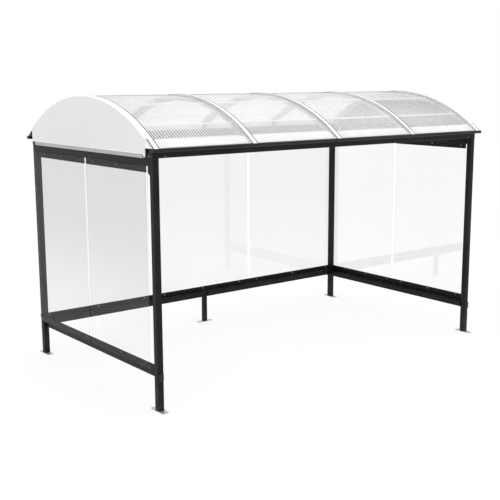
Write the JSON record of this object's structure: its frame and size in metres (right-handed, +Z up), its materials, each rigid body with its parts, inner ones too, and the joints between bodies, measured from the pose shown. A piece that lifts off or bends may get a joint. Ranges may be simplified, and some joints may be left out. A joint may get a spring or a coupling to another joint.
{
  "type": "bike shelter",
  "caption": "Open-fronted bike shelter: black steel post-and-rail frame with clear side and rear panes, foot plates and a barrel-vault roof of translucent sheets.",
  "frame": {"origin": "centre of the footprint on the ground, under the foot plates", "axes": "+X along the shelter to the right as seen from the open front, +Y to the rear, +Z up"},
  "size_m": [4.266, 2.45, 2.733],
  "materials": {
    "frame_black": "satin black powder coat",
    "eave_black": "satin black powder-coated aluminium",
    "galvanised": "hot-dip galvanised",
    "clear_pane": "clear smooth sheet",
    "roof_sheet": "clear multiwall sheet",
    "rib_white": "white powder coat",
    "gable_grey": "light grey sheet metal",
    "closure_white": "white foam strip",
    "sill_silver": "mill-finish aluminium"
  },
  "bodies": {
    "root": {"post_front_left": "frame_black", "post_front_right": "frame_black", "post_rear_left": "frame_black", "post_rear_right": "frame_black", "leg_rear_middle": "frame_black", "bottom_rail_left": "frame_black", "bottom_rail_right": "frame_black", "bottom_rail_rear": "frame_black", "bottom_angle_left": "frame_black", "bottom_angle_right": "frame_black", "bottom_angle_rear": "frame_black", "top_rail_left": "frame_black", "top_rail_right": "frame_black", "eave_beam_front": "frame_black", "eave_beam_rear": "frame_black", "pane_hangers": "frame_black", "corner_gussets": "frame_black", "foot_plate_front_left": "galvanised", "foot_plate_front_right": "galvanised", "foot_plate_rear_left": "galvanised", "foot_plate_rear_right": "galvanised", "foot_plate_rear_middle": "galvanised", "eave_nose_front": "eave_black", "eave_nose_rear": "eave_black", "eave_closures": "closure_white", "pane_left_front": "clear_pane", "pane_left_rear": "clear_pane", "pane_right_front": "clear_pane", "pane_right_rear": "clear_pane", "pane_rear_left": "clear_pane", "pane_rear_middle": "clear_pane", "pane_rear_right": "clear_pane", "roof_rib_1": "sill_silver", "roof_rib_2": "sill_silver", "roof_rib_3": "sill_silver", "roof_rib_4": "sill_silver", "roof_rib_5": "sill_silver", "roof_purlins": "rib_white", "roof_sheet_1": "roof_sheet", "roof_sheet_2": "roof_sheet", "roof_sheet_3": "roof_sheet", "roof_sheet_4": "roof_sheet", "roof_cover_bars": "rib_white", "gable_left": "gable_grey", "gable_right": "gable_grey", "gable_sills": "sill_silver"}
  },
  "joints": []
}
